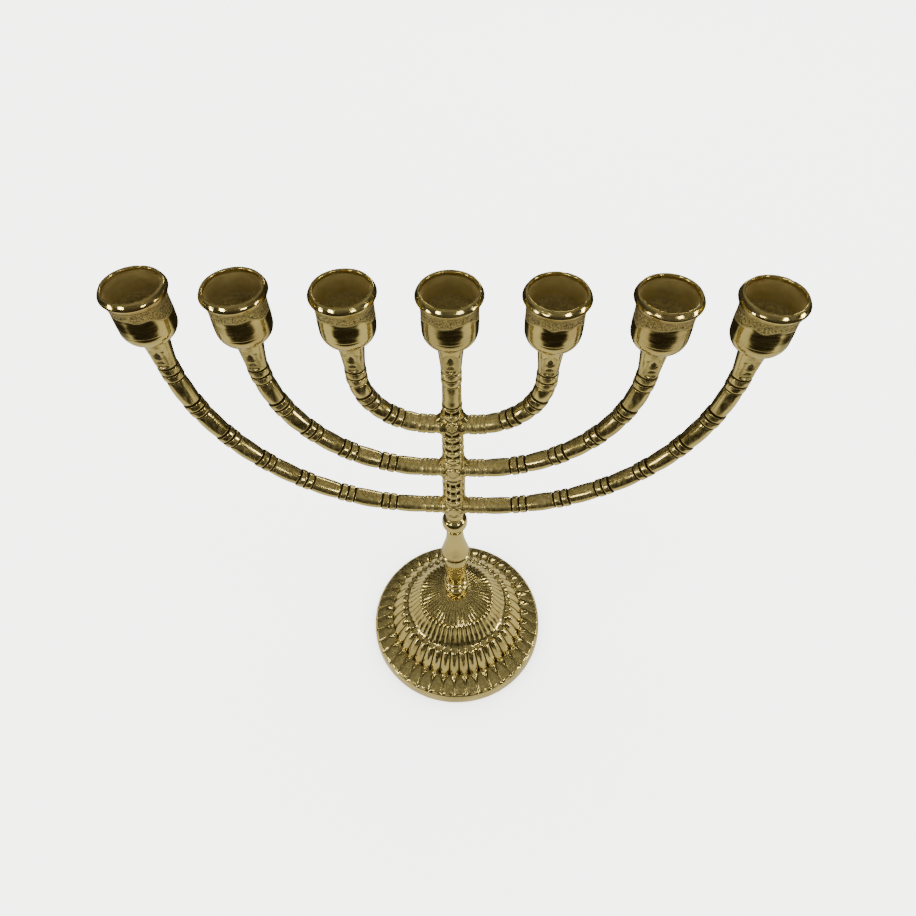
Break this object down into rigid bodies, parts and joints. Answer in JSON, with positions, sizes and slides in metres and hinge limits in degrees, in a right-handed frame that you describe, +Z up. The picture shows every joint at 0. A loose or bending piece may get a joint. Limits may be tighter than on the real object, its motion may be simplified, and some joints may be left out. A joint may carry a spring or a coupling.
{
  "type": "menorah",
  "caption": "Branched brass candelabrum with curved arms in one plane, screwed-on candle cups and a fluted domed foot.",
  "frame": {"origin": "on the table, under the centre of the foot", "axes": "+Z up along the column, +X along the branches to the viewer's right, -Y towards the viewer"},
  "size_m": [0.2842, 0.12, 0.3055],
  "materials": {
    "cast_brass": "polished cast brass, darkened in the recesses",
    "turned_brass": "polished turned brass",
    "cup_brass": "polished bowl and rim, matt cast band and inside",
    "steel_hardware": "plain zinc-plated"
  },
  "bodies": {
    "foot": {"base": "cast_brass", "post": "turned_brass", "bell": "turned_brass", "knop": "turned_brass", "tie_rod": "steel_hardware", "washer": "steel_hardware", "nut": "steel_hardware"},
    "tree": {"column": "cast_brass", "left_outer_branch": "cast_brass", "left_middle_branch": "cast_brass", "left_inner_branch": "cast_brass", "right_inner_branch": "cast_brass", "right_middle_branch": "cast_brass", "right_outer_branch": "cast_brass"},
    "cup_body_1": {"cup_1": "cup_brass"},
    "cup_body_2": {"cup_2": "cup_brass"},
    "cup_body_3": {"cup_3": "cup_brass"},
    "cup_body_4": {"cup_4": "cup_brass"},
    "cup_body_5": {"cup_5": "cup_brass"},
    "cup_body_6": {"cup_6": "cup_brass"},
    "cup_body_7": {"cup_7": "cup_brass"}
  },
  "joints": [
    {"name": "column_turn", "type": "hinge", "parent": "foot", "child": "tree", "pos_m": [0, 0, 0.15], "axis": [0, 0, 1], "continuous": true},
    {"name": "cup_1_turn", "type": "hinge", "parent": "tree", "child": "cup_body_1", "pos_m": [-0.128, 0, 0.278], "axis": [0, 0, 1], "continuous": true},
    {"name": "cup_2_turn", "type": "hinge", "parent": "tree", "child": "cup_body_2", "pos_m": [-0.087, 0, 0.278], "axis": [0, 0, 1], "continuous": true},
    {"name": "cup_3_turn", "type": "hinge", "parent": "tree", "child": "cup_body_3", "pos_m": [-0.043, 0, 0.278], "axis": [0, 0, 1], "continuous": true},
    {"name": "cup_4_turn", "type": "hinge", "parent": "tree", "child": "cup_body_4", "pos_m": [0, 0, 0.278], "axis": [0, 0, 1], "continuous": true},
    {"name": "cup_5_turn", "type": "hinge", "parent": "tree", "child": "cup_body_5", "pos_m": [0.043, 0, 0.278], "axis": [0, 0, 1], "continuous": true},
    {"name": "cup_6_turn", "type": "hinge", "parent": "tree", "child": "cup_body_6", "pos_m": [0.087, 0, 0.278], "axis": [0, 0, 1], "continuous": true},
    {"name": "cup_7_turn", "type": "hinge", "parent": "tree", "child": "cup_body_7", "pos_m": [0.128, 0, 0.278], "axis": [0, 0, 1], "continuous": true}
  ]
}
